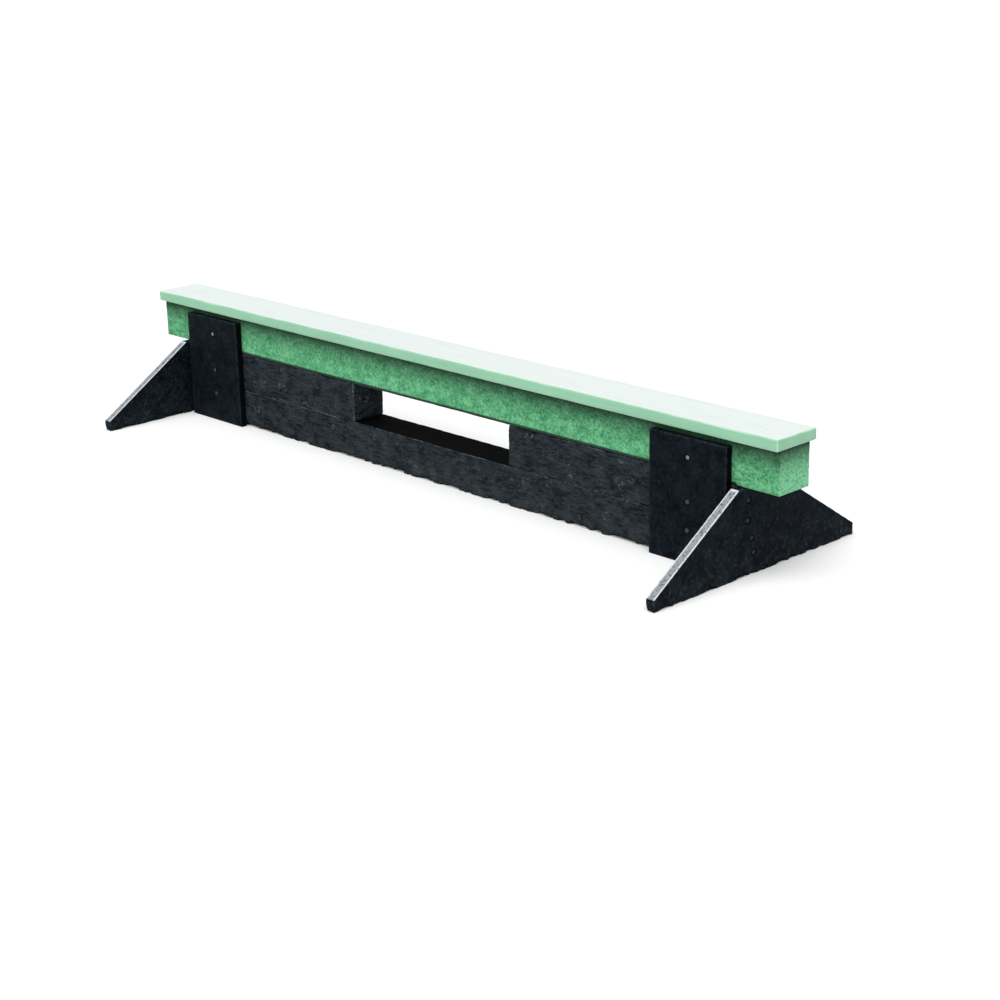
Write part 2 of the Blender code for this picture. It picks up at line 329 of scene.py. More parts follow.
@dataclass(frozen=True)
class Stock:
    """The plain form of a piece of lumber: a rounded rectangle carried along a straight line.

    The section lies across the line, from side to side (wide) and from face to face (deep).  The
    width may change along the line.  Towards each end the section shrinks by an inset that first
    follows the eased arris and then closes up over the end, to a point on square stock and to a
    line on a board.

    Attributes:
        centre: middle of the piece.
        axes: rows are the unit vectors of its width, its depth and its length.
        half: half of its width, depth and length.
        ease: radius of its arrises.
        pitch: spacing of the points along, and across, the piece.
        tapers: (position along, half width) pairs from end to end, if the width changes.
        marks: rows of (across, along) places that need finer spacing.
        reach: how far the fine spacing goes round each mark.
        fine: spacing of the points there.
    """

    centre: Array
    axes: Array
    half: Array
    ease: float
    pitch: tuple[float, float]
    tapers: tuple[tuple[float, float], ...] = ()
    marks: tuple[tuple[float, float], ...] = ()
    reach: float = 14 * MM
    fine: float = 1.3 * MM

    def half_width(self, along: Array) -> Array:
        """Half the width at some positions.

        Args:
            along: positions along the piece.

        Returns:
            Half the width at each, read off the tapers where there are any.
        """
        if not self.tapers:
            return np.full_like(along, self.half[0])
        positions, widths = np.array(self.tapers).T
        return np.interp(along, positions, widths)

    def rows(self) -> tuple[Array, Array]:
        """Where the rows of points lie, from end to end.

        Returns:
            Each row's position along the piece, and its inset.
        """
        long = self.half[2]
        marks = [along for _, along in self.marks] + [p for p, _ in self.tapers[1:-1]]
        body = spread(self.ease - long, long - self.ease, self.pitch[0], marks, self.reach,
                      self.fine)
        turn = np.linspace(0, math.pi / 2, EASE_STEPS + 1)
        shut = min(self.half[0], self.half[1])
        count = max(3, round((shut - self.ease) / self.pitch[1]) + 1)
        inward = np.linspace(self.ease, shut, count)
        end = np.concatenate([long - self.ease + self.ease * np.sin(turn),
                              np.full(len(inward) - 1, long)])
        inset = np.concatenate([self.ease * (1 - np.cos(turn)), inward[1:]])
        along = np.concatenate([-end[::-1], body[1:-1], end])
        return along, np.concatenate([inset[::-1], np.zeros(len(body) - 2), inset])

    def columns(self) -> Array:
        """The columns of points round the section.

        A point lies at flat x (half - radius) + arc x radius in each direction, so that the
        arrises keep their radius whatever the width.

        Returns:
            Four rows: flat across, flat deep, arc across and arc deep.
        """
        wide, deep = self.half[0] - self.ease, self.half[1] - self.ease
        marks = [across for across, _ in self.marks]
        across = spread(-wide, wide, self.pitch[1], marks, self.reach, self.fine) / wide
        down = np.linspace(1, -1, max(3, round(2 * deep / self.pitch[1]) + 1))
        turn = np.linspace(0, math.pi / 2, EASE_STEPS + 1)[1:-1]
        one, nil = np.ones_like(across), np.zeros_like(across)
        level, none = np.ones_like(down), np.zeros_like(down)
        corner = np.ones_like(turn)
        half_round = np.concatenate([
            np.stack([across, one, nil, one]),
            np.stack([corner, corner, np.sin(turn), np.cos(turn)]),
            np.stack([level, down, level, none]),
            np.stack([corner, -corner, np.cos(turn), -np.sin(turn)])], axis=1)
        return np.concatenate([half_round, -half_round], axis=1)

    def skin(self) -> Skin:
        """The closed skin of the plain form: every column at every row.

        Returns:
            The skin.
        """
        along, inset = self.rows()
        flat_w, flat_d, arc_w, arc_d = self.columns()
        radius = np.maximum(self.ease - inset, 0)[:, None]
        wide = (self.half_width(along) - inset)[:, None]
        deep = (self.half[1] - inset)[:, None]
        across = flat_w * (wide - radius) + arc_w * radius
        facing = flat_d * (deep - radius) + arc_d * radius
        local = np.stack([across, facing, np.broadcast_to(along[:, None], across.shape)], axis=-1)
        return Skin.from_grid(self.centre + local @ self.axes)

    def local(self, points: Array) -> Array:
        """Each point's place across, through and along the piece, from its middle."""
        return (points - self.centre) @ self.axes.T

    def edge_gap(self, points: Array) -> Array:
        """Distance to the nearest arris: the second smallest of the distances to the faces.

        Args:
            points: places on the skin.

        Returns:
            The distance of each.
        """
        across, through, along = self.local(points).T
        gaps = np.stack([self.half_width(along) - np.abs(across),
                         self.half[1] - np.abs(through), self.half[2] - np.abs(along)], axis=1)
        return np.sort(gaps, axis=1)[:, 1]

    def by_edge(self, points: Array, reach: float) -> Array:
        """How near an arris each point is: (1 - gap / reach), held from 0 to 1."""
        return held(1 - self.edge_gap(points) / reach)


@dataclass(frozen=True)
class Turning:
    """A round piece: a profile turned about an axis.

    Attributes:
        top: where the profile's height is zero, on the axis.
        axis: unit vector that the top faces.
        profile: (radius, height, lobes) points from the socket's floor to the point; lobes is how
            far six grooves pull the radius in.
        sides: columns of points round the axis.
    """

    top: Array
    axis: Array
    profile: tuple[tuple[float, float, float], ...]
    sides: int = 48

    def skin(self) -> Skin:
        """Radius r (1 - lobes (1 - cos 6a) / 2) at each angle a, at the profile's heights.

        Returns:
            The closed skin.
        """
        radius, height, lobes = np.array(self.profile).T[:, :, None]
        angle = np.linspace(0, 2 * math.pi, self.sides, endpoint=False)
        out = radius * (1 - lobes * (1 - np.cos(6 * angle)) / 2)
        first = np.cross(self.axis, np.roll(np.abs(self.axis), 1))
        second = np.cross(self.axis, first)
        round_axis = np.cos(angle)[:, None] * first + np.sin(angle)[:, None] * second
        rise = height[:, :, None] * self.axis
        return Skin.from_grid(self.top + out[:, :, None] * round_axis + rise)


# ---- Shader sums ----------------------------------------------------------------------------

class Signal:
    """A number that a node gives, which takes part in sums and adds their Math nodes."""

    def __init__(self, bench: "Bench", socket: bpy.types.NodeSocket) -> None:
        """Wrap one output socket of the bench's nodes."""
        self.bench = bench
        self.socket = socket

    def __add__(self, other: "Signal | float") -> "Signal":
        """This plus the other."""
        return self.bench.maths("ADD", self, other)

    def __rsub__(self, other: float) -> "Signal":
        """The other less this."""
        return self.bench.maths("SUBTRACT", other, self)

    def __mul__(self, other: "Signal | float") -> "Signal":
        """This times the other."""
        return self.bench.maths("MULTIPLY", self, other)

    __radd__ = __add__
    __rmul__ = __mul__


class Bench:
    """The nodes of one material or world, laid out by expressions."""

    def __init__(self, tree: bpy.types.NodeTree) -> None:
        """Clear the tree for new nodes."""
        self.tree = tree
        self.tree.nodes.clear()

    def node(self, kind: str, settings: dict | None = None, sockets: dict | None = None,
             out: int | str = 0) -> Signal:
        """Add any node.

        Args:
            kind: the node's type.
            settings: its properties, set first; "stops" fills a colour ramp.
            sockets: values or signals for its inputs, by name or number.
            out: which output to return.

        Returns:
            The chosen output; its first input for a node that ends the tree.
        """
        made = self.tree.nodes.new(kind)
        for key, value in (settings or {}).items():
            if key == "stops":
                self._fill_ramp(made.color_ramp, value)
            else:
                setattr(made, key, value)
        for key, value in (sockets or {}).items():
            if isinstance(value, Signal):
                self.tree.links.new(value.socket, made.inputs[key])
            else:
                made.inputs[key].default_value = value
        return Signal(self, made.outputs[out] if made.outputs else made.inputs[0])

    @staticmethod
    def _fill_ramp(ramp: bpy.types.ColorRamp, stops: list[tuple[float, Colour]]) -> None:
        """Give a ramp its stops.

        Args:
            ramp: the node's ramp.
            stops: a position and a colour for each.
        """
        while len(ramp.elements) < len(stops):
            ramp.elements.new(1.0)
        for element, (position, colour) in zip(ramp.elements, stops):
            element.position = position
            element.color = (*colour, 1.0)

    def maths(self, operation: str, *values: "Signal | float") -> Signal:
        """A Math node on one, two or three values."""
        return self.node("ShaderNodeMath", {"operation": operation}, dict(enumerate(values)))

    @cache
    def place(self) -> Signal:
        """The skin's own place, in metres."""
        return self.node("ShaderNodeTexCoord", out="Object")

    def in_units(self, size: Size | float) -> Signal:
        """The place in units of a size, the same all ways or given along X, Y and Z."""
        unit = size if isinstance(size, tuple) else (size,) * 3
        return self.node("ShaderNodeVectorMath", {"operation": "DIVIDE"},
                         {0: self.place(), 1: unit})

    def measure(self, name: str) -> Signal:
        """A measure stored on the skin."""
        return self.node("ShaderNodeAttribute", {"attribute_name": name}, out="Fac")

    def noise(self, size: Size | float, detail: float = 2.0, roughness: float = 0.5) -> Signal:
        """Noise whose features have the size given, from 0 to 1."""
        return self.node("ShaderNodeTexNoise", {}, {
            "Vector": self.in_units(size), "Scale": 1.0, "Detail": detail, "Roughness": roughness})

    def spots(self, size: float) -> Signal:
        """Distance to the nearest of many scattered points, in units of the size."""
        return self.node("ShaderNodeTexVoronoi", {}, {
            "Vector": self.in_units(size), "Scale": 1.0}, out="Distance")

    def step(self, value: Signal, low: float, high: float) -> Signal:
        """0 below low, 1 above high and a smooth rise between; high below low turns it round."""
        return self.node("ShaderNodeMapRange", {"interpolation_type": "SMOOTHSTEP"}, {
            "Value": value, "From Min": low, "From Max": high})

    def ramp(self, value: Signal, *stops: tuple[float, Colour]) -> Signal:
        """A colour looked up along stops."""
        return self.node("ShaderNodeValToRGB", {"stops": stops}, {0: value})

    def mix(self, share: "Signal | float", first: "Signal | Colour",
            second: "Signal | Colour") -> Signal:
        """The first colour, with the second laid over it by the share."""
        pair = [c if isinstance(c, Signal) else (*c, 1.0) for c in (first, second)]
        return self.node("ShaderNodeMix", {"data_type": "RGBA"},
                         {0: share, **dict(zip(MIX_COLOURS, pair))}, MIX_RESULT)

    def dim(self, colour: Signal, amount: Signal) -> Signal:
        """The colour times a number."""
        return self.node("ShaderNodeVectorMath", {"operation": "SCALE"}, {0: colour, 3: amount})


@dataclass(frozen=True)
class Coat:
    """What a finish lays over a skin: its colour, roughness and fine height, and its constants."""

    colour: Signal | Colour
    roughness: Signal | float
    height: Signal | None = None
    relief: float = 0.3 * MM
    metallic: float = 0.0
    specular: float = 0.5


@dataclass(frozen=True)
class Finish:
    """A surface finish.  Each kind says in coat() what it looks like.

    Attributes:
        name: the material's name.
        slot: the record's material slot that it paints; not used; the studio's own have none.
    """

    name: str
    slot: str = ""

    def coat(self, bench: Bench) -> Coat:
        """Lay out the finish's nodes."""
        raise NotImplementedError

    @cache
    def material(self) -> bpy.types.Material:
        """Make the material, once.

        Returns:
            The finished material.
        """
        made = bpy.data.materials.new(self.name)
        made.use_nodes = True
        bench = Bench(made.node_tree)
        coat = self.coat(bench)
        plain = isinstance(coat.colour, tuple)
        sockets = {"Base Color": (*coat.colour, 1.0) if plain else coat.colour,
                   "Roughness": coat.roughness, "Metallic": coat.metallic,
                   "Specular IOR Level": coat.specular}
        if coat.height is not None:
            sockets["Normal"] = bench.node("ShaderNodeBump", {}, {
                "Distance": coat.relief, "Height": coat.height})
        shader = bench.node("ShaderNodeBsdfPrincipled", {}, sockets)
        bench.node("ShaderNodeOutputMaterial", {}, {"Surface": shader})
        return made


@dataclass(frozen=True)
class DeckPlastic(Finish):
    """Smooth pale green plank, nearly white where it faces the sky: partly real bleach, partly a
    painted sky sheen.
    """

    side: Colour = (0.232, 0.462, 0.308)
    bleach_and_sky_sheen: Colour = (0.605, 0.655, 0.635)
    stain: Colour = (0.54, 0.62, 0.575)
    streak_size: Size = (0.30, 0.006, 0.006)
    stain_size: Size = (0.16, 0.05, 0.05)
    grain_size: float = 0.0022
    scratch_size: Size = (0.05, 0.0022, 0.02)

    def coat(self, bench: Bench) -> Coat:
        """Long faint streaks, drifting stains on the top with its bleach and painted sky sheen, and
        arrises both worn and painted with highlights.

        Args:
            bench: where its nodes go.

        Returns:
            The coat.
        """
        streak = bench.noise(self.streak_size, 3.0, 0.6)
        cloud = bench.noise(self.stain_size, 3.0)
        grain = bench.noise(self.grain_size)
        scratch = bench.step(bench.noise(self.scratch_size, 1.0), 0.68, 0.78)
        side = bench.mix(bench.step(cloud, 0.3, 0.7), self.side, shaded(self.side, 1.08))
        side = bench.dim(side, 0.9 + 0.2 * streak)
        # Pale arrises: partly worn, partly a painted highlight along the rounded edges.
        rubbed_and_highlit = bench.measure("arris") * (0.35 * streak + 0.65 * cloud)
        side = bench.mix(0.55 * bench.step(rubbed_and_highlit, 0.34, 0.5), side, self.stain)
        # Painted sky sheen: the top's near-white colour, partly real bleach, stands in for the
        # sky's reflection on the faces that look up.
        top = bench.mix(0.45 * bench.step(cloud, 0.52, 0.72), self.bleach_and_sky_sheen, self.stain)
        top = bench.dim(top, 0.93 + 0.14 * streak)
        # The faces that look up take the painted sky sheen.
        sun = bench.step(bench.measure("sun"), 0.86, 0.99)
        colour = bench.mix(sun * (1 - 0.25 * scratch), side, top)
        height = 0.6 * grain + 0.4 * streak
        return Coat(colour, 0.42 + 0.22 * streak, height, 0.25 * MM, specular=0.3)


@dataclass(frozen=True)
class GreenTimber(Finish):
    """Mid green timber, mottled and finely speckled, paler on its sawn ends: partly sawn plastic,
    partly painted light.
    """

    dark: Colour = (0.032, 0.175, 0.072)
    middle: Colour = (0.083, 0.334, 0.151)
    light: Colour = (0.170, 0.490, 0.260)
    # Colour of the ends: partly the sawn plastic, partly painted light falling on them.
    sawn: Colour = (0.21, 0.54, 0.32)
    # Colour of the painted shade line at the bottom arris.
    arris_shade: Colour = (0.004, 0.010, 0.012)
    speck_size: float = 0.008
    cloud_size: Size = (0.05, 0.03, 0.03)
    pinhole_gap: float = 0.011

    def coat(self, bench: Bench) -> Coat:
        """Two sizes of speckle, dark pinholes, pale flecks on the sawn ends that carry painted
        light, a painted shadow band under the plank and a painted shade line along the bottom
        arris.

        Args:
            bench: where its nodes go.

        Returns:
            The coat.
        """
        speck = bench.noise(self.speck_size, 3.0, 0.65)
        cloud = bench.noise(self.cloud_size, 3.0)
        tone = 0.7 * speck + 0.3 * cloud
        colour = bench.ramp(tone, (0.36, self.dark), (0.5, self.middle), (0.63, self.light))
        pinhole = bench.step(bench.spots(self.pinhole_gap), 0.2, 0.1)
        colour = bench.mix(0.55 * pinhole, colour, shaded(self.dark, 0.6))
        # The sawn ends go paler: partly their sawn colour, partly painted light.
        sawn = bench.measure("sawn") * (0.25 + 0.65 * bench.step(speck, 0.38, 0.62))
        colour = bench.mix(sawn, colour, self.sawn)
        # Painted shadow of the plank: the green darkens just under it.
        colour = bench.dim(colour, 1 - 0.93 * bench.measure("painted_shade"))
        # Painted shade: a near-black line along the bottom arris over the courses.
        colour = bench.mix(0.92 * bench.step(bench.measure("low"), 0.1, 0.45), colour, self.arris_shade)
        return Coat(colour, 0.62 + 0.25 * speck, speck, 0.5 * MM, specular=0.2)


@dataclass(frozen=True)
class BlackTimber(Finish):
    """Charcoal timber with short streaks, pale scuffs and worn arrises."""

    dark: Colour = (0.0018, 0.0035, 0.0055)
    light: Colour = (0.031, 0.040, 0.047)
    scuff: Colour = (0.105, 0.12, 0.13)
    worn: Colour = (0.17, 0.185, 0.195)
    dust: Colour = (0.034, 0.04, 0.04)
    # Near-black of the painted shade.
    shade_black: Colour = (0.0006, 0.0008, 0.001)
    streak_size: Size = (0.034, 0.02, 0.005)
    cloud_size: Size = (0.05, 0.045, 0.03)
    grit_size: float = 0.004
    rub_size: Size = (0.016, 0.014, 0.009)
    stretch_size: Size = (0.11, 0.03, 0.03)
    scar_gap: float = 0.08

    def coat(self, bench: Bench) -> Coat:
        """Clouds, short streaks, broken ring-shaped scars, a dusty foot, ragged pale arrises and
        painted shade on the covered top.

        Args:
            bench: where its nodes go.

        Returns:
            The coat.
        """
        streak = bench.noise(self.streak_size, 4.0, 0.65)
        cloud = bench.noise(self.cloud_size, 6.0, 0.72)
        grit = bench.noise(self.grit_size)
        tone = 0.36 * streak + 0.44 * cloud + 0.2 * grit
        colour = bench.ramp(tone, (0.41, self.dark), (0.59, self.light))
        rub = bench.noise(self.rub_size, 3.0, 0.6)
        spot = bench.spots(self.scar_gap)
        scar = bench.step(spot, 0.06, 0.15) * bench.step(spot, 0.25, 0.16)
        scar = scar * bench.step(rub, 0.45, 0.62)
        colour = bench.mix(0.65 * bench.step(rub, 0.62, 0.74) + 0.5 * scar, colour, self.scuff)
        stretch = bench.noise(self.stretch_size, 3.0, 0.6)
        worn = bench.step(bench.measure("arris") * stretch, 0.30, 0.44)
        ragged = bench.step(grit, 0.36, 0.6) * bench.step(rub, 0.34, 0.5)
        colour = bench.mix(0.85 * worn * ragged, colour, self.worn)
        dusty = bench.measure("low") * bench.step(cloud, 0.35, 0.65)
        colour = bench.mix(dusty * 0.5, colour, self.dust)
        # Painted shade: the covered tops go near-black.
        colour = bench.mix(bench.measure("painted_shade"), colour, self.shade_black)
        height = 0.6 * streak + 0.4 * grit
        return Coat(colour, 0.6 + 0.3 * cloud, height, 0.9 * MM, specular=0.04)


@dataclass(frozen=True)
class BlackBoard(Finish):
    """Blue-black sheet board with clouds and dusty specks; sawn faces are grey with pale arrises.

    Attributes:
        pebbles: how far dusty pebbles cover the faces; they are thickest near the ground.
    """

    pebbles: float = 0.3
    dark: Colour = (0.0008, 0.0022, 0.0042)
    light: Colour = (0.0072, 0.0118, 0.0165)
    dust: Colour = (0.0115, 0.016, 0.0205)
    speck: Colour = (0.05, 0.057, 0.064)
    sawn_pale: Colour = (0.25, 0.27, 0.29)
    sawn_dark: Colour = (0.048, 0.053, 0.060)
    rubbed_and_highlit: Colour = (0.52, 0.55, 0.59)
    # Near-black of the painted shade.
    shade_black: Colour = (0.0005, 0.0007, 0.001)
    cloud_size: float = 0.05
    pebble_size: float = 0.011
    grit_size: float = 0.0035
    patch_size: float = 0.07
    fleck_size: Size = (0.004, 0.008, 0.008)

    def coat(self, bench: Bench) -> Coat:
        """Clouds and specks on the faces, saw flecks and two bright arrises on sawn edges, partly
        worn and partly painted highlights.

        Args:
            bench: where its nodes go.

        Returns:
            The coat.
        """
        cloud = bench.noise(self.cloud_size, 4.0, 0.6)
        pebble = bench.noise(self.pebble_size, 3.0, 0.65)
        grit = bench.noise(self.grit_size)
        tone = 0.45 * cloud + 0.35 * pebble + 0.2 * grit
        colour = bench.ramp(tone, (0.40, self.dark), (0.62, self.light))
        patch = bench.step(bench.noise(self.patch_size, 4.0, 0.65), 0.42, 0.62)
        low = bench.measure("low")
        colour = bench.mix(self.pebbles * patch * (0.25 + 0.6 * low), colour, self.dust)
        lump = bench.step(pebble, 0.50, 0.66) * bench.step(grit, 0.32, 0.62)
        cover = self.pebbles * (0.2 + 0.35 * low + 0.25 * patch)
        cover = cover + 0.2 * bench.step(pebble, 0.7, 0.78)
        colour = bench.mix(cover * lump, colour, self.speck)
        edge = bench.measure("arris")
        colour = bench.mix(0.3 * edge * bench.step(pebble, 0.35, 0.6), colour, self.speck)
        fleck = bench.noise(self.fleck_size, 3.0, 0.65)
        cut = bench.ramp(fleck, (0.37, self.sawn_dark), (0.49, self.sawn_pale))
        # Pale lines at the sawn arrises: partly worn, partly painted highlights.
        bright = bench.step(edge, 0.25, 0.45) * bench.step(fleck, 0.3, 0.42)
        colour = bench.mix(bench.measure("sawn"), colour, bench.mix(bright, cut, self.rubbed_and_highlit))
        # Painted shade: near-black in the screws' hollows and on the plates' side edges.
        colour = bench.mix(bench.measure("painted_shade"), colour, self.shade_black)
        height = 0.5 * pebble + 0.5 * grit
        return Coat(colour, 0.5 + 0.3 * pebble, height, 0.5 * MM, specular=0.03)


@dataclass(frozen=True)
class ScrewSteel(Finish):
    """Zinc-plated screw head whose flange is painted dark as shade."""

    clean: Colour = (0.42, 0.43, 0.44)
    # Colour of the painted shade on the flange.
    dull: Colour = (0.004, 0.005, 0.006)
    fog_size: float = 0.002

    def coat(self, bench: Bench) -> Coat:
        """Bright in the middle, painted shade round the flange.

        Args:
            bench: where its nodes go.

        Returns:
            The coat.
        """
        fog = bench.noise(self.fog_size, 3.0)
        # Painted shade: the flange ring round the boss goes near-black as the shadow of its hollow.
        flange_shade = bench.measure("flange_shade")
        zinc = bench.ramp(fog, (0.3, shaded(self.clean, 0.6)), (0.6, self.clean))
        colour = bench.mix(flange_shade, zinc, self.dull)
        return Coat(colour, 0.35 + 0.3 * fog + 0.25 * flange_shade, fog, 0.05 * MM, metallic=0.85)


@dataclass(frozen=True)
class DeckScrewPaint(Finish):
    """Screw head painted to match the plank, with a few chips."""

    paint: Colour = (0.56, 0.62, 0.59)
    bare: Colour = (0.40, 0.42, 0.41)
    chip_size: float = 0.0016

    def coat(self, bench: Bench) -> Coat:
        """Matt paint, chipped here and there."""
        chip = bench.step(bench.noise(self.chip_size, 3.0), 0.6, 0.68)
        return Coat(bench.mix(chip, self.paint, self.bare), 0.45 + 0.1 * chip, chip, 0.05 * MM)


@dataclass(frozen=True)
class RodSteel(Finish):
    """Galvanised steel with its crystal pattern."""

    pale: Colour = (0.56, 0.57, 0.58)
    grey: Colour = (0.36, 0.37, 0.38)
    crystal_size: float = 0.006
    fog_size: float = 0.002

    def coat(self, bench: Bench) -> Coat:
        """Patches of two greys, each with its own shine.

        Args:
            bench: where its nodes go.

        Returns:
            The coat.
        """
        patch = bench.step(bench.noise(self.crystal_size, 1.0), 0.42, 0.58)
        fog = bench.noise(self.fog_size)
        shine = 0.35 + 0.2 * patch + 0.1 * fog
        return Coat(bench.mix(patch, self.grey, self.pale), shine, fog, 0.05 * MM, metallic=0.9)


@dataclass(frozen=True)
class FloorPaint(Finish):
    """One flat pale grey for the studio's floor."""

    grey: float = 0.78

    def coat(self, bench: Bench) -> Coat:
        """Matt, with no shine at all."""
        return Coat((self.grey,) * 3, 0.9, specular=0.0)


# ---- Pieces ---------------------------------------------------------------------------------

class Lie(Enum):
    """How a piece of stock lies: the rows are its width, depth and length as unit vectors."""

    ALONG = ((0, 1, 0), (0, 0, 1), (1, 0, 0))
    FACING_FRONT = ((1, 0, 0), (0, 1, 0), (0, 0, 1))
    FACING_END = ((0, 1, 0), (1, 0, 0), (0, 0, 1))


def box_of(node: str) -> tuple[Array, Array]:
    """Middle and half size of a frame node."""
    low, high = (np.array(corner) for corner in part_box(node))
    return (low + high) / 2, (high - low) / 2


def screw_head(node: str) -> tuple[Array, Array]:
    """Find the head of a frame screw, which faces up, or out from the beam's middle.

    Args:
        node: the frame's screw.

    Returns:
        The middle of its head, and the unit vector that the head faces.
    """
    middle, half = box_of(node)
    along = int(np.argmax(half))
    facing = np.zeros(3)
    facing[along] = 1.0 if along == 2 else np.sign(middle[along])
    return middle + facing * half[along], facing


def settle(piece: bpy.types.Object, finish: Finish, *nodes: str) -> None:
    """Dress a new piece and let it stand for its nodes on the frame's one body.

    Args:
        piece: the new piece.
        finish: its surface finish.
        nodes: the frame nodes that it stands for.
    """
    piece.data.materials.append(finish.material())
    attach(piece, "root")
    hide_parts(*nodes)
    LOG.info("%s: %d faces in %s", piece.name, len(piece.data.polygons), finish.name)


def worn_foot(points: Array, seed: int) -> Array:
    """Share of wear near the ground: ragged stretches that fade out a finger's width up.

    Args:
        points: the skin's points.
        seed: which random wear.

    Returns:
        0 for none to 1 for the deepest, at each point.
    """
    near = held(1 - points[:, 2] / WEAR_HEIGHT) ** 1.5
    ragged = Field(seed, WEAR_SIZE).rough(points, 3)
    return near * held((ragged - 0.40) / 0.25)


@dataclass
class Lumber:
    """One plank, timber or board: its plain form, its relief and its finish.

    Attributes:
        node: the frame node that it stands for.
        lie: how it lies.
        finish: its surface finish.
        ease: radius of its arrises.
        pitch: spacing of its points along and across.
        seed: which random relief it has.
        screws: frame nodes of the screws in it.
        pit: (floor radius, rim radius, depth) of the hollow that each screw sits in.
        arris_reach: how far the arris measure goes in from the arrises, in their radii.
        splash: height up to which rain splashes soil.
    """

    node: str
    lie: Lie
    finish: Finish
    ease: float
    pitch: tuple[float, float]
    seed: int
    screws: tuple[str, ...] = ()
    pit: Size = (9.6 * MM, 12.5 * MM, 2.6 * MM)
    arris_reach: float = 2.5
    splash: float = 110 * MM

    def tapers(self) -> tuple[tuple[float, float], ...]:
        """How the width changes along the piece; nothing on straight stock."""
        return ()

    def stock(self) -> Stock:
        """Lay out the plain form, with finer spacing at the screws.

        Returns:
            The plain form.
        """
        middle, half = box_of(self.node)
        axes = np.array(self.lie.value, float)
        bare = Stock(middle, axes, np.abs(axes @ half), self.ease, self.pitch, self.tapers())
        marks = [bare.local(box_of(name)[0][None])[0] for name in self.screws]
        places = tuple((p[0] * bare.half[0] / float(bare.half_width(p[2])), p[2]) for p in marks)
        return replace(bare, marks=places)

    def pits(self, skin: Skin) -> Array:
        """Work out the screws' hollows: full inside the floor radius, sloping up to the rim.

        Args:
            skin: the plain skin.

        Returns:
            The depth at each point.
        """
        depth = np.zeros(len(skin.points))
        normals = skin.normals()
        floor, rim, full = self.pit
        for name in self.screws:
            top, facing = screw_head(name)
            gap = np.linalg.norm(np.cross(skin.points - top, facing), axis=1)
            share = held((rim - gap) / (rim - floor))
            depth = np.where(normals @ facing > FACING, np.maximum(depth, full * share), depth)
        return depth

    def relief(self, stock: Stock, skin: Skin) -> Array:
        """How deep the piece's own roughness cuts into each point."""
        raise NotImplementedError

    def sawn(self, stock: Stock, skin: Skin) -> Array:
        """How far each point lies on a sawn face: the two ends, unless a kind says otherwise."""
        return held((np.abs(skin.normals() @ stock.axes[2]) - 0.75) / 0.2)

    def low(self, stock: Stock, skin: Skin) -> Array:
        """How near the ground each point is, from nothing at splash height to full."""
        return held(1 - skin.points[:, 2] / self.splash)

    def painted_shade(self, stock: Stock, skin: Skin) -> Array:
        """How far each point is painted as shade: full in the screws' hollows."""
        # Painted shade: the hollows that the screws sit in go dark as if shadowed.
        return held(1.6 * self.pits(skin) / self.pit[2])

    def build(self) -> None:
        """Make the piece, carve its relief and pits, store its measures and dress it."""
        stock = self.stock()
        skin = stock.skin()
        skin.measures = {
            # How far each point faces up; the plank's finish lays its painted sky sheen there.
            "sun": held(skin.normals()[:, 2]),
            "arris": stock.by_edge(skin.points, self.arris_reach * self.ease),
            "sawn": self.sawn(stock, skin),
            "low": self.low(stock, skin),
            # Painted shade, which the finishes use to darken hollows, covered tops, side edges and
            # the band under the plank.
            "painted_shade": self.painted_shade(stock, skin),
        }
        skin.carve(self.relief(stock, skin) + self.pits(skin))
        settle(skin.to_object(self.node + "_skin"), self.finish, self.node)


@dataclass
class Timber(Lumber):
    """Square moulded timber with a rough, dented skin and chipped arrises.

    Its top, which lies under other pieces, is painted the deepest black as shade.

    Attributes:
        streak_depth: depth of its streaks.
        wave_depth: depth of its long waves.
        dent_depth: depth of the deepest dents.
        chip_depth: depth of the deepest chips in an arris.
        chip_reach: how far in from an arris the chips go.
        foot_chip: depth of the deepest chips along the ground.
        streak_size, wave_size, chip_size: sizes of the streaks, waves and chips.
        dent_gap: spacing of the dents.
        dent_radius: radius of the widest.
    """

    streak_depth: float = 0.9 * MM
    wave_depth: float = 0.8 * MM
    dent_depth: float = 1.8 * MM
    chip_depth: float = 2.4 * MM
    chip_reach: float = 9 * MM
    foot_chip: float = 22 * MM
    streak_size: Size = (0.06, 0.014, 0.009)
    wave_size: Size = (0.35, 0.08, 0.08)
    chip_size: Size = (0.03, 0.012, 0.012)
    dent_gap: float = 0.055
    dent_radius: float = 0.013

    def relief(self, stock: Stock, skin: Skin) -> Array:
        """Streaks along the timber, round dents, and chips at the arrises and the foot.

        Args:
            stock: the plain form.
            skin: its skin.

        Returns:
            The depth at each point.
        """
        points, seed = skin.points, self.seed
        streak = Field(seed, self.streak_size).rough(points, 3)
        wave = Field(seed + 10, self.wave_size).at(points)
        dent = Dents(seed + 20, self.dent_gap, self.dent_radius, 0.5).at(points)
        chip = Field(seed + 30, self.chip_size).over(0.45, points, 3) * 3
        edge = stock.by_edge(points, self.chip_reach) ** 2
        return (self.streak_depth * streak + self.wave_depth * wave + self.dent_depth * dent
                + self.chip_depth * edge * chip + self.foot_chip * worn_foot(points, seed + 40))

    def painted_shade(self, stock: Stock, skin: Skin) -> Array:
        """Painted shade, full on the sheltered top."""
        return held(3 * skin.normals()[:, 2] - 2)


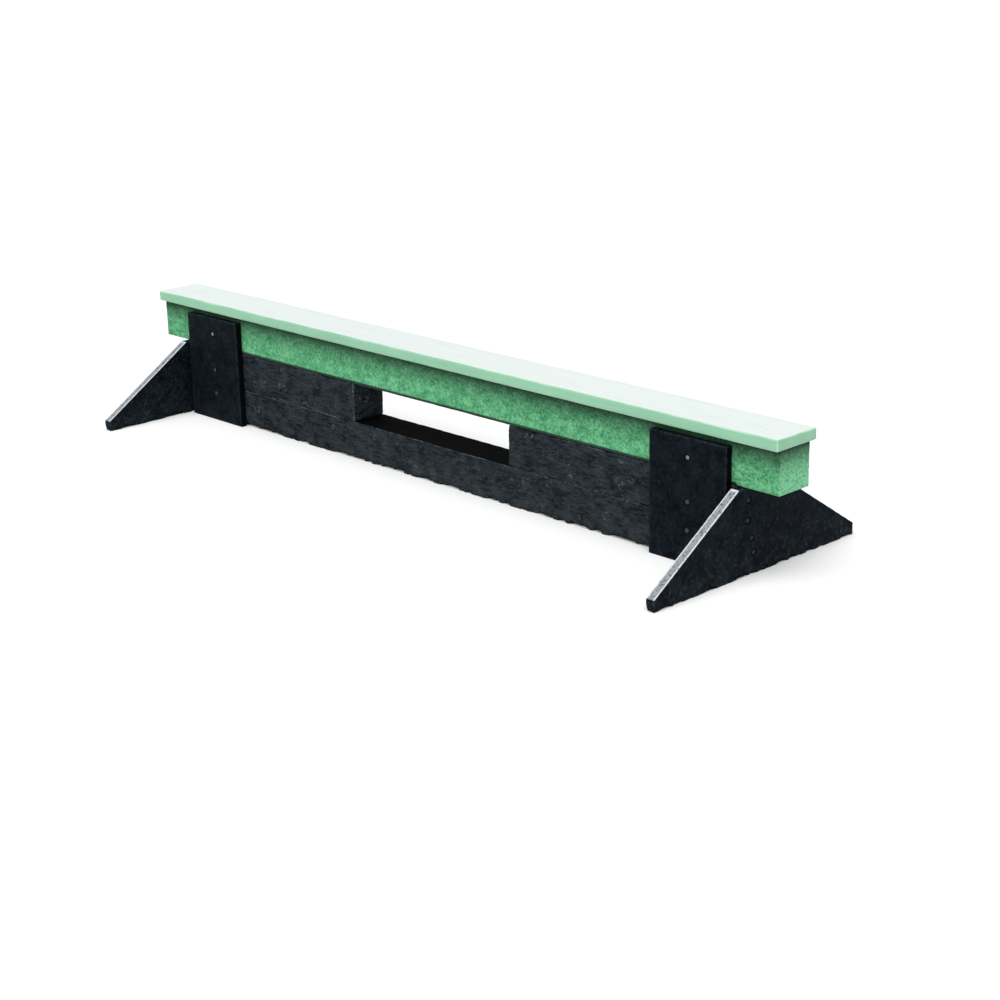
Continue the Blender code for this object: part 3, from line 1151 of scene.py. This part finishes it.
@dataclass
class TopTimber(Timber):
    """The green timber under the plank: smoother, with a painted shadow just below the plank.

    Attributes:
        shade: how far down the painted shadow reaches.
        arris_shade: how far up from its bottom arris the painted shade reaches.
    """

    dent_depth: float = 0.5 * MM
    chip_depth: float = 1.2 * MM
    shade: float = 92 * MM
    arris_shade: float = 15 * MM

    def painted_shade(self, stock: Stock, skin: Skin) -> Array:
        """Painted shadow of the plank: full just under it and gone a short way down."""
        top = stock.centre[2] + stock.half[1]
        return held(1 - (top - skin.points[:, 2]) / self.shade) ** 1.25

    def low(self, stock: Stock, skin: Skin) -> Array:
        """Painted shade at its bottom arris, over the courses.

        Args:
            stock: the plain form.
            skin: its skin.

        Returns:
            1 at the arris, fading to 0 just above it, and 0 past the courses' ends.
        """
        bottom = stock.centre[2] - stock.half[1]
        over = np.abs(skin.points[:, 0]) < box_of("lower_course")[1][0]
        return over * held(1 - (skin.points[:, 2] - bottom) / self.arris_shade)


@dataclass
class Plank(Lumber):
    """The smooth plank that is walked on.

    Attributes:
        wave_depth: depth of its long waves.
        grain_depth: depth of its fine grain.
        wave_size, grain_size: sizes of the waves and of the grain.
    """

    wave_depth: float = 0.5 * MM
    grain_depth: float = 0.25 * MM
    wave_size: Size = (0.5, 0.06, 0.06)
    grain_size: Size = (0.05, 0.008, 0.008)

    def relief(self, stock: Stock, skin: Skin) -> Array:
        """Long shallow waves and a fine grain.

        Args:
            stock: the plain form; not used.
            skin: its skin.

        Returns:
            The depth at each point.
        """
        wave = Field(self.seed, self.wave_size).at(skin.points)
        grain = Field(self.seed + 10, self.grain_size).rough(skin.points, 2)
        return self.wave_depth * wave + self.grain_depth * grain


@dataclass
class Plate(Lumber):
    """A smooth sheet board screwed flat against the stack.

    Attributes:
        hollow_depth: depth of the faint hollows over its faces.
        nick_depth: depth of the nicks in its arrises.
        nick_reach: how far in from an arris the nicks go.
        hollow_size, nick_size: sizes of the hollows and of the nicks.
    """

    hollow_depth: float = 0.6 * MM
    nick_depth: float = 1.2 * MM
    nick_reach: float = 5 * MM
    hollow_size: Size = (0.09,) * 3
    nick_size: Size = (0.012,) * 3

    def relief(self, stock: Stock, skin: Skin) -> Array:
        """Faint hollows over the faces and small nicks at the arrises.

        Args:
            stock: the plain form.
            skin: its skin.

        Returns:
            The depth at each point.
        """
        hollow = Field(self.seed, self.hollow_size).rough(skin.points, 3)
        nick = Field(self.seed + 10, self.nick_size).over(0.6, skin.points, 2) * 4
        edge = stock.by_edge(skin.points, self.nick_reach) ** 2
        return self.hollow_depth * hollow + self.nick_depth * edge * nick

    def sawn(self, stock: Stock, skin: Skin) -> Array:
        """The plates' edges keep the colour of their faces."""
        return np.zeros(len(skin.points))

    def painted_shade(self, stock: Stock, skin: Skin) -> Array:
        """Painted shade in the screws' hollows, and most of the way on the side edges."""
        # Painted shade: the side edges are darkened as if in shadow.
        edges = held(np.abs(skin.normals() @ stock.axes[0]) * 2 - 1)
        return np.maximum(super().painted_shade(stock, skin), 0.75 * edges)


@dataclass
class FootPanel(Lumber):
    """A truncated triangle with short upright toes, in pebbled sheet with pale sawn slopes.

    Attributes:
        toe_height: height of the upright toes.
        half_top: half of its width at the top.
        pebble_depth: depth of the pebbled skin.
        dent_depth: depth of the deepest dents.
        chip_depth: depth of the deepest chips in an arris.
        chip_reach: how far in from an arris the chips go.
        foot_chip: depth of the deepest chips along the ground.
        sawn_fade: height over which the toe's dark edge turns into the sawn slope.
        swirl_size, pebble_size, chip_size: sizes of the swirls, pebbles and chips.
        swirl_shift: how far the swirls carry the pebbles.
        dent_gap: spacing of the dents.
        dent_radius: radius of the widest.
    """

    toe_height: float = 38.1 * MM
    half_top: float = 96.5 * MM
    pebble_depth: float = 1.1 * MM
    dent_depth: float = 1.0 * MM
    chip_depth: float = 0.8 * MM
    chip_reach: float = 8 * MM
    foot_chip: float = 9 * MM
    sawn_fade: float = 2 * MM
    swirl_size: Size = (0.03,) * 3
    pebble_size: Size = (0.016,) * 3
    chip_size: Size = (0.014,) * 3
    swirl_shift: float = 0.05
    dent_gap: float = 0.06
    dent_radius: float = 0.010
    arris_reach: float = 4.4

    def tapers(self) -> tuple[tuple[float, float], ...]:
        """Straight up the toe, then straight in to the top."""
        _, (_, wide, high) = box_of(self.node)
        return ((-high, wide), (self.toe_height - high, wide), (high, self.half_top))

    def relief(self, stock: Stock, skin: Skin) -> Array:
        """Pebbles and swirls on the faces, chips at the arrises and along the ground.

        Args:
            stock: the plain form.
            skin: its skin.

        Returns:
            The depth at each point.
        """
        points, seed = skin.points, self.seed
        bent = points + (Field(seed, self.swirl_size).at(points) * self.swirl_shift)[:, None]
        pebble = np.abs(Field(seed + 10, self.pebble_size).rough(bent, 3) - 0.5) * 2
        dent = Dents(seed + 20, self.dent_gap, self.dent_radius, 0.4).at(points)
        chip = Field(seed + 30, self.chip_size).over(0.42, points, 3) * 3
        edge = stock.by_edge(points, self.chip_reach) ** 2
        flat = 1 - self.sawn(stock, skin)
        return (flat * (self.pebble_depth * pebble + self.dent_depth * dent)
                + self.chip_depth * edge * chip + self.foot_chip * worn_foot(points, seed + 40))

    def sawn(self, stock: Stock, skin: Skin) -> Array:
        """The two slopes, above the toes."""
        above = held((skin.points[:, 2] - self.toe_height) / self.sawn_fade)
        return held((np.abs(skin.normals() @ stock.axes[0]) - 0.3) / 0.15) * above


@dataclass
class Screw:
    """A star-drive screw, seen by its head: a bright boss inside a flange, which the steel finishes
    paint dark as shade.

    Attributes:
        node: the frame node that it stands for.
        finish: its surface finish.
        boss: the boss's radius over the head's.
        step: how far the flange lies below the boss.
    """

    node: str
    finish: Finish
    boss: float = 0.6
    step: float = 0.5 * MM

    def build(self) -> None:
        """Turn the screw about its axis, with its top where the frame's is."""
        _, half = box_of(self.node)
        top, facing = screw_head(self.node)
        radius, length = np.median(half), 2 * half.max()
        skin = Turning(top, facing, self.profile(radius, length)).skin()
        out = np.linalg.norm(np.cross(skin.points - top, facing), axis=1)
        # Share of the painted shade: the flange outside the boss.
        skin.measures = {"flange_shade": held((out / radius - self.boss + 0.02) / 0.08)}
        settle(skin.to_object(self.node + "_skin"), self.finish, self.node)

    def profile(self, radius: float, length: float) -> tuple[tuple[float, float, float], ...]:
        """Half section from the socket's floor, over the head and down the shank to the point.

        Args:
            radius: the head's radius.
            length: the screw's whole length.

        Returns:
            (radius, height, lobes) points.
        """
        socket, depth, groove = 0.3 * radius, 0.22 * radius, 0.28
        boss, shank, flange = self.boss * radius, 0.38 * radius, -self.step
        return (
            (0.0, -depth, 0.0), (socket * 0.92, -depth, groove), (socket, -0.15 * depth, groove),
            (socket * 1.06, 0.0, groove), (boss * 0.88, 0.0, 0.0), (boss * 0.97, 0.3 * flange, 0.0),
            (boss, flange, 0.0), (0.94 * radius, flange, 0.0),
            (radius, flange - 0.05 * radius, 0.0), (radius, flange - 0.12 * radius, 0.0),
            (shank, -0.75 * radius, 0.0), (shank, 3 * shank - length, 0.0), (0.0, -length, 0.0))


# ---- Sub-assemblies -------------------------------------------------------------------------

class Side(Enum):
    """The two ends of the beam."""

    LEFT = "left"
    RIGHT = "right"


class Face(Enum):
    """The two long faces of the beam."""

    FRONT = "front"
    BACK = "back"


@dataclass
class Deck:
    """The plank and its painted screws."""

    screw_count: int = 12
    ease: float = 5.6 * MM
    pitch: tuple[float, float] = (14 * MM, 5 * MM)
    pit: Size = (5.6 * MM, 7.0 * MM, 1.9 * MM)
    plastic: Finish = DeckPlastic("pale_green_plank", "deck_plastic")
    paint: Finish = DeckScrewPaint("plank_coloured_paint", "deck_screw_paint")

    def build(self) -> None:
        """Lay the plank and drive its screws."""
        screws = numbered("deck_screw", self.screw_count)
        Plank("deck_plank", Lie.ALONG, self.plastic, self.ease, self.pitch, 11, screws,
              self.pit).build()
        for node in screws:
            Screw(node, self.paint, boss=0.9, step=0.2 * MM).build()


@dataclass
class Stack:
    """The green timber and the two black courses that carry it."""

    ease: float = 3.0 * MM
    pitch: tuple[float, float] = (7 * MM, 3.6 * MM)
    green: Finish = GreenTimber("green_timber", "beam_plastic")
    black: Finish = BlackTimber("black_timber", "timber_plastic")

    def build(self) -> None:
        """Lay the lower course, the two blocks of the upper one and the green timber."""
        for seed, node in enumerate(("lower_course", "upper_course_left", "upper_course_right")):
            Timber(node, Lie.ALONG, self.black, self.ease, self.pitch, 100 + 7 * seed).build()
        TopTimber("top_beam", Lie.ALONG, self.green, self.ease, self.pitch, 150).build()


@dataclass
class TiePlates:
    """The four wide boards that tie the courses together, and their screws."""

    per_plate: int = 3
    ease: float = 2.2 * MM
    pitch: tuple[float, float] = (7 * MM, 7 * MM)
    plastic: Finish = BlackBoard("blue_black_board", "board_plastic")
    steel: Finish = ScrewSteel("zinc_screw", "screw_steel")
    dusty: Finish = ScrewSteel("dusty_screw", "screw_steel", (0.11, 0.12, 0.13),
                               (0.03, 0.035, 0.04))

    def build(self) -> None:
        """Hang each plate and drive its screws; only the top one has stayed bright."""
        for number, (face, side) in enumerate(product(Face, Side)):
            screws = numbered(f"{face.value}_plate_screw_{side.value}", self.per_plate)
            Plate(f"{face.value}_plate_{side.value}", Lie.FACING_FRONT, self.plastic, self.ease,
                  self.pitch, 200 + 13 * number, screws).build()
            highest = max(screws, key=lambda node: box_of(node)[0][2])
            for node in screws:
                Screw(node, self.steel if node == highest else self.dusty, boss=0.46).build()


@dataclass
class Feet:
    """The two foot panels across the ends, and their screws."""

    per_foot: int = 4
    ease: float = 1.8 * MM
    pitch: tuple[float, float] = (5 * MM, 6 * MM)
    plastic: Finish = BlackBoard("pebbled_black_board", "board_plastic", 0.9)
    steel: Finish = ScrewSteel("dull_screw", "screw_steel", (0.05, 0.056, 0.062),
                               (0.002, 0.003, 0.004))

    def build(self) -> None:
        """Stand each panel against its end and drive its screws."""
        for number, side in enumerate(Side):
            screws = numbered(f"foot_screw_{side.value}", self.per_foot)
            FootPanel(f"foot_panel_{side.value}", Lie.FACING_END, self.plastic, self.ease,
                      self.pitch, 300 + 17 * number, screws).build()
            for node in screws:
                Screw(node, self.steel, boss=0.55).build()


@dataclass
class TieRods:
    """The rods and flange nuts inside the stack, kept as the frame has them."""

    steel: Finish = RodSteel("galvanised_steel", "rod_steel")

    def dress(self) -> None:
        """Give every rod and nut its steel."""
        for name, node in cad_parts.items():
            if name.startswith(("tie_rod", "top_nut", "bottom_nut")):
                node.data.materials.clear()
                node.data.materials.append(self.steel.material())
                LOG.info("%s: dressed in %s", name, self.steel.name)


# ---- Studio ---------------------------------------------------------------------------------

@dataclass
class Studio:
    """The pale floor, the soft light and the camera.

    Attributes:
        eye: where the camera stands.
        heading: how far it looks round from +Y towards +X, in radians.
        dip: how far it looks down, in radians.
        roll: how far it leans, in radians.
        lens: its focal length in millimetres, on a film as wide as film.
        film: width of the film in millimetres.
        paint: the floor's finish.
        floor_half: half of the floor's width.
        floor_drop: how far the floor lies under the beam.
        sky: strength of the sky at the floor's far edge.
        sky_top: its strength overhead.
        glow: strength of the narrow glow just above the floor's far edge.
        glow_height: how high the glow reaches, as the height of a unit vector.
        sun_strength: strength of the sun.
        sun_spread: how wide the sun is, in radians.
        sun_aim: which way its light travels.
    """

    eye: Size = (4.948, -4.470, 2.108)
    heading: float = -0.8075
    dip: float = 0.3182
    roll: float = -0.02035
    lens: float = 72.4
    film: float = 36.0
    paint: Finish = FloorPaint("pale_floor")
    floor_half: float = 60.0
    floor_drop: float = 0.3 * MM
    sky: float = 0.22
    sky_top: float = 0.72
    glow: float = 0.8
    glow_height: float = 0.15
    sun_strength: float = 3.2
    sun_spread: float = 1.1
    sun_aim: Size = (-0.25, 0.45, -1.0)

    def build(self) -> None:
        """Set up the floor, the light and the camera."""
        bpy.context.scene.view_settings.view_transform = "Standard"
        self.lay_floor()
        self.light_sky()
        self.hang_sun()
        self.place_camera()
        LOG.info("studio: floor, sky, sun and camera")

    def lay_floor(self) -> None:
        """A wide flat floor, a hair under the beam."""
        far, level = self.floor_half, -self.floor_drop
        mesh = bpy.data.meshes.new("floor")
        mesh.from_pydata([(-far, -far, level), (far, -far, level), (far, far, level),
                          (-far, far, level)], [], [(0, 1, 2, 3)])
        mesh.materials.append(self.paint.material())
        put("floor", mesh)

    def light_sky(self) -> None:
        """A white sky, brightest overhead, with a narrow glow just above the floor's far edge."""
        world = bpy.data.worlds.new("sky")
        world.use_nodes = True
        bpy.context.scene.world = world
        bench = Bench(world.node_tree)
        upward = bench.node("ShaderNodeSeparateXYZ", {}, {
            0: bench.node("ShaderNodeTexCoord", out="Generated")}, out="Z")
        glow = self.glow * bench.step(upward, self.glow_height, 0.0)
        strength = self.sky + (self.sky_top - self.sky) * bench.step(upward, 0.0, 1.0) + glow
        light = bench.node("ShaderNodeBackground", {}, {
            "Color": (1.0, 1.0, 1.0, 1.0), "Strength": strength})
        bench.node("ShaderNodeOutputWorld", {}, {"Surface": light})

    def hang_sun(self) -> None:
        """A very wide soft sun, high in front."""
        lamp = bpy.data.lights.new("soft_sun", "SUN")
        lamp.energy = self.sun_strength
        lamp.angle = self.sun_spread
        turn = Vector(self.sun_aim).to_track_quat("-Z", "Y")
        put("soft_sun", lamp).rotation_euler = turn.to_euler()

    def place_camera(self) -> None:
        """A camera that looks along its heading, dipped and leaning."""
        lens = bpy.data.cameras.new("camera")
        lens.lens = self.lens
        lens.sensor_width = self.film
        lens.clip_end = 4 * self.floor_half
        level, drop = math.cos(self.dip), math.sin(self.dip)
        forward = Vector((math.sin(self.heading) * level, math.cos(self.heading) * level, -drop))
        right = Vector((math.cos(self.heading), -math.sin(self.heading), 0.0))
        up = right.cross(forward)
        leaning_right = right * math.cos(self.roll) + up * math.sin(self.roll)
        leaning_up = up * math.cos(self.roll) - right * math.sin(self.roll)
        turn = Matrix((leaning_right, leaning_up, -forward)).transposed()
        camera = put("camera", lens)
        camera.matrix_world = Matrix.Translation(self.eye) @ turn.to_4x4()
        bpy.context.scene.camera = camera


def main() -> None:
    """Build every sub-assembly in order, then the studio."""
    logging.basicConfig(level=logging.INFO, format="%(name)s %(message)s")
    Stack().build()
    Deck().build()
    TiePlates().build()
    Feet().build()
    TieRods().dress()
    Studio().build()


if __name__ == "__main__":
    main()
